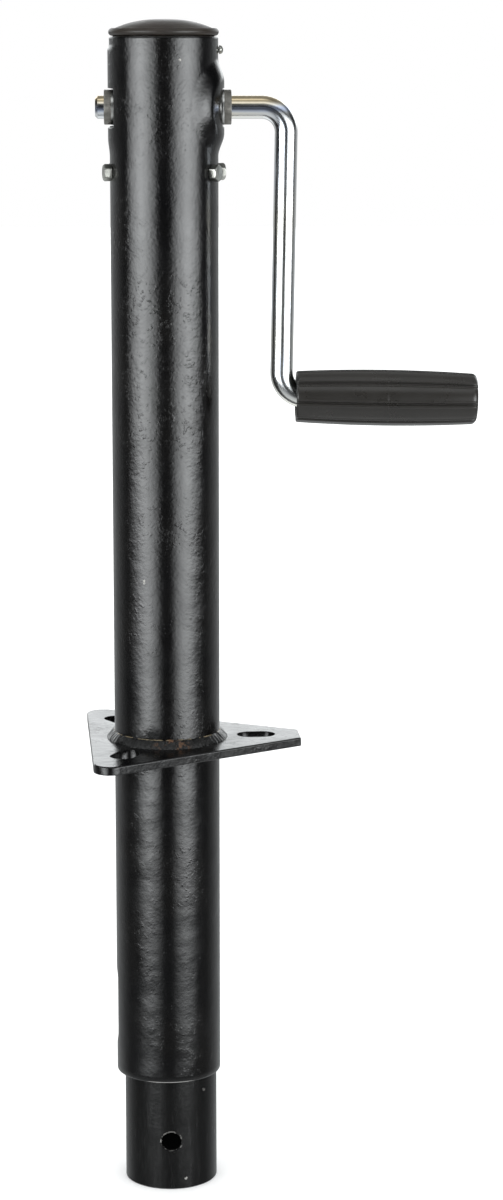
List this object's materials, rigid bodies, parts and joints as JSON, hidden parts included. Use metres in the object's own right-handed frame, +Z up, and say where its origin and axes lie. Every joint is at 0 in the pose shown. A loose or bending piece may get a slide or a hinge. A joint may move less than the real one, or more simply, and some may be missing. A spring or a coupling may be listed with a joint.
{
  "type": "trailer tongue jack",
  "caption": "Side-wind trailer tongue jack: a cranked bevel and screw drive pushes a ram down out of a round tube with a welded triangular mounting plate.",
  "frame": {"origin": "on the outer tube's axis, in the plane of the mounting plate's underside", "axes": "+Z up along the tube towards the cap; +X along the crank shaft towards the grip"},
  "size_m": [0.2116, 0.139, 0.6342],
  "materials": {
    "black_gloss_paint": "glossy black enamel with orange peel, small pits and runs",
    "black_satin_paint": "thin satin black paint with scuffs",
    "cap_plastic": "satin moulded black plastic",
    "grip_plastic": "satin moulded black plastic with shallow flutes",
    "zinc_plate": "bright zinc plate with a faint yellow and blue tint",
    "zinc_fasteners": "zinc plate, slightly rough",
    "sintered_iron": "matte oil-filled sintered iron",
    "gear_steel": "greased sintered steel",
    "plain_steel": "plain steel with grease",
    "hardened_steel": "ground hardened steel",
    "cage_brass": "pressed brass"
  },
  "bodies": {
    "housing": {"outer_tube": "black_gloss_paint", "mounting_plate": "black_gloss_paint", "plate_weld": "black_gloss_paint", "top_cap": "cap_plastic", "cap_rivet": "zinc_fasteners", "right_bushing": "sintered_iron", "left_bushing": "sintered_iron", "right_washer": "zinc_fasteners", "left_washer": "zinc_fasteners", "bearing_seat": "plain_steel", "seat_screws": "zinc_fasteners", "lower_race": "hardened_steel"},
    "crank": {"crank_rod": "zinc_plate", "drive_pinion": "gear_steel", "pinion_pin": "hardened_steel", "thrust_washer": "gear_steel", "shaft_collar": "gear_steel", "collar_pin": "hardened_steel", "grip_snap_ring": "hardened_steel"},
    "grip": {"grip": "grip_plastic"},
    "screw": {"lead_screw": "plain_steel", "driven_gear": "gear_steel", "gear_pin": "hardened_steel", "upper_race": "hardened_steel", "stop_washer": "plain_steel", "stop_pin": "hardened_steel"},
    "cage": {"ball_cage": "cage_brass", "bearing_balls": "hardened_steel"},
    "ram": {"ram_tube": "black_satin_paint", "drive_nut": "plain_steel", "nut_pins": "hardened_steel"}
  },
  "joints": [
    {"name": "crank_turn", "type": "hinge", "parent": "housing", "child": "crank", "pos_m": [0, 0, 0.3427], "axis": [-1, 0, 0], "range_deg": [0, 41040]},
    {"name": "grip_spin", "type": "hinge", "parent": "crank", "child": "grip", "pos_m": [0.11798, 0, 0.18934], "axis": [0.9998, 0, -0.0175], "continuous": true},
    {"name": "screw_turn", "type": "hinge", "parent": "housing", "child": "screw", "pos_m": [0, 0, 0.3], "axis": [0, 0, -1], "range_deg": [0, 27361]},
    {"name": "cage_turn", "type": "hinge", "parent": "housing", "child": "cage", "pos_m": [0, 0, 0.3132], "axis": [0, 0, -1], "range_deg": [0, 13681]},
    {"name": "ram_slide", "type": "slide", "parent": "housing", "child": "ram", "axis": [0, 0, -1], "range_m": [0, 0.38001]}
  ],
  "couplings": [
    {"joint": "screw_turn", "follows": "crank_turn", "ratio": 0.66667},
    {"joint": "cage_turn", "follows": "crank_turn", "ratio": 0.33333},
    {"joint": "ram_slide", "follows": "crank_turn", "m_per_rad": 0.00053052}
  ]
}
